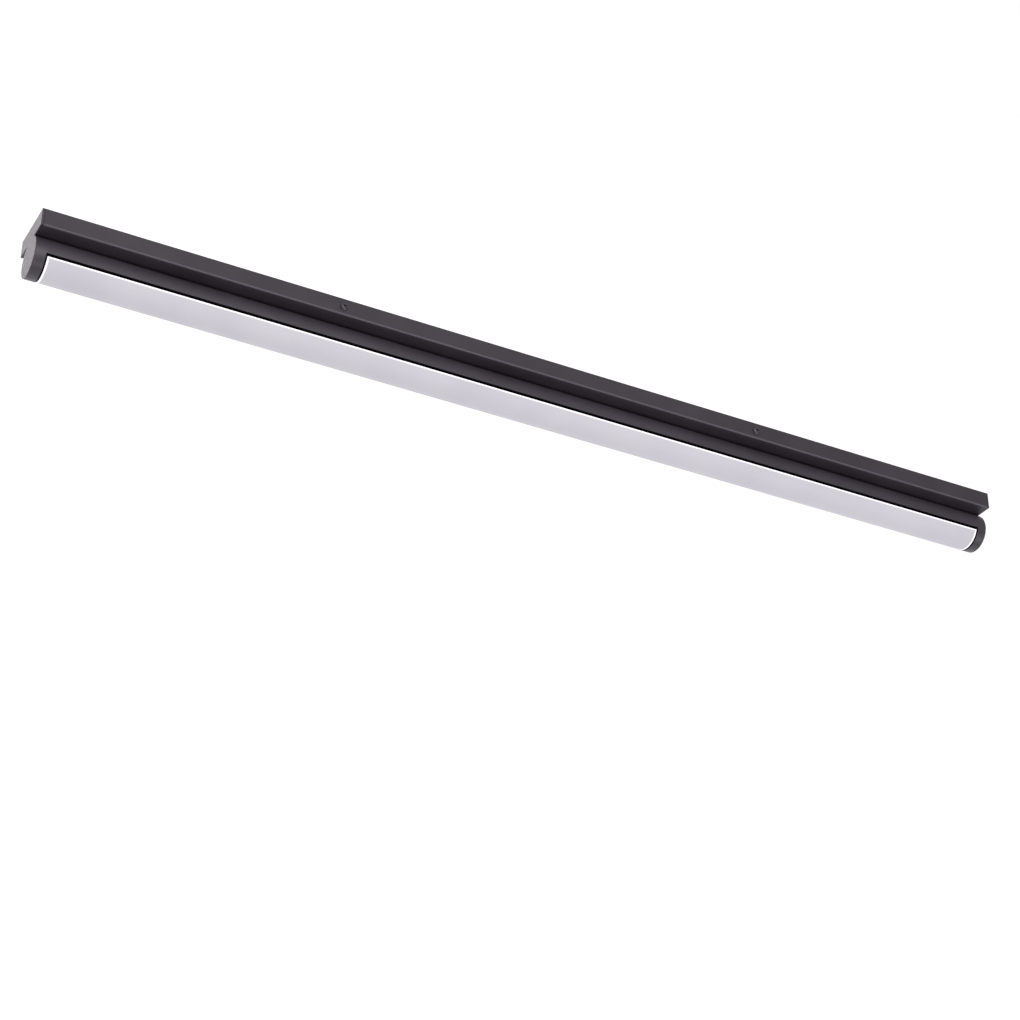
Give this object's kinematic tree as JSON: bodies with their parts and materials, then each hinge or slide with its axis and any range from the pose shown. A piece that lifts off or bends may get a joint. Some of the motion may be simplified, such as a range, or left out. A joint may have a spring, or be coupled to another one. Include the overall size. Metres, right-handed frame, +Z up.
{
  "type": "vanity light bar",
  "caption": "Long slim black wall light: a shallow rectangular canopy carries a round tube whose front is a flush opal diffuser, closed by one-piece end caps.",
  "frame": {"origin": "middle of the wall bracket's back, on the wall plane, at the centre of its two wall slots", "axes": "+X along the bar to the right as one faces the wall, +Z up, +Y into the wall, so the lamp faces -Y"},
  "size_m": [1, 0.0532, 0.0577],
  "materials": {
    "powder_coat": "matt black powder coat on aluminium",
    "cap_plastic": "moulded matt black",
    "opal": "opal satin, lit from inside",
    "zinc_steel": "bright zinc plate",
    "black_screw": "black zinc-nickel plate",
    "steel": "plain",
    "brass": "turned",
    "rubber_black": "moulded",
    "nylon_white": "moulded nylon",
    "board_white": "white solder mask on an aluminium core",
    "led_phosphor": "silicone with phosphor",
    "tape_grey": "heat-conducting pad",
    "foam_tape": "acrylic foam",
    "driver_case": "white moulded polycarbonate",
    "circuit_board": "green solder mask",
    "ferrite": "sintered",
    "capacitor_sleeve": "shrink sleeve",
    "epoxy_black": "moulded epoxy",
    "fuse_glass": "fired",
    "wire_brown": "PVC insulation",
    "wire_blue": "PVC insulation",
    "wire_earth": "PVC insulation, green with yellow",
    "wire_red": "PVC insulation",
    "wire_black": "PVC insulation"
  },
  "bodies": {
    "wall_mount": {"bracket_strip": "zinc_steel", "hanger_left": "zinc_steel", "hanger_right": "zinc_steel", "earth_lug": "zinc_steel", "cable_grommet": "rubber_black", "bracket_earth_screw": "brass", "bracket_earth_washer": "brass"},
    "lamp": {"board_connector": "nylon_white", "board_link": "nylon_white", "board_screws": "steel", "canopy_housing": "powder_coat", "clamp_nuts": "steel", "diffuser": "opal", "driver_base": "driver_case", "driver_board": "circuit_board", "driver_capacitors": "capacitor_sleeve", "driver_choke": "ferrite", "driver_fuse": "fuse_glass", "driver_lid": "driver_case", "driver_rectifier": "epoxy_black", "driver_tape": "foam_tape", "driver_transformer": "ferrite", "earth_lead": "wire_earth", "earth_tag": "steel", "end_cap_left": "cap_plastic", "end_cap_right": "cap_plastic", "end_seal_left": "rubber_black", "end_seal_right": "rubber_black", "lamp_lead_negative": "wire_black", "lamp_lead_positive": "wire_red", "led_board_left": "board_white", "led_board_right": "board_white", "leds_left": "led_phosphor", "leds_right": "led_phosphor", "mains_live": "wire_brown", "mains_neutral": "wire_blue", "nut_cages": "steel", "terminal_block": "nylon_white", "terminal_fixing_screw": "steel", "terminal_inserts": "brass", "terminal_plate": "zinc_steel", "terminal_screws": "steel", "thermal_tape": "tape_grey", "tube_housing": "powder_coat", "tube_screws": "steel", "tube_washers": "steel", "wire_bush": "nylon_white", "wire_saddles": "nylon_white"},
    "fixing_screw_left": {"fixing_screw_left": "black_screw"},
    "fixing_screw_right": {"fixing_screw_right": "black_screw"}
  },
  "joints": [
    {"name": "lamp_slide", "type": "slide", "parent": "wall_mount", "child": "lamp", "axis": [0, -1, 0], "range_m": [0, 0.06]},
    {"name": "screw_left_out", "type": "slide", "parent": "lamp", "child": "fixing_screw_left", "axis": [0, 0, 1], "range_m": [0, 0.005]},
    {"name": "screw_right_out", "type": "slide", "parent": "lamp", "child": "fixing_screw_right", "axis": [0, 0, 1], "range_m": [0, 0.005]}
  ]
}
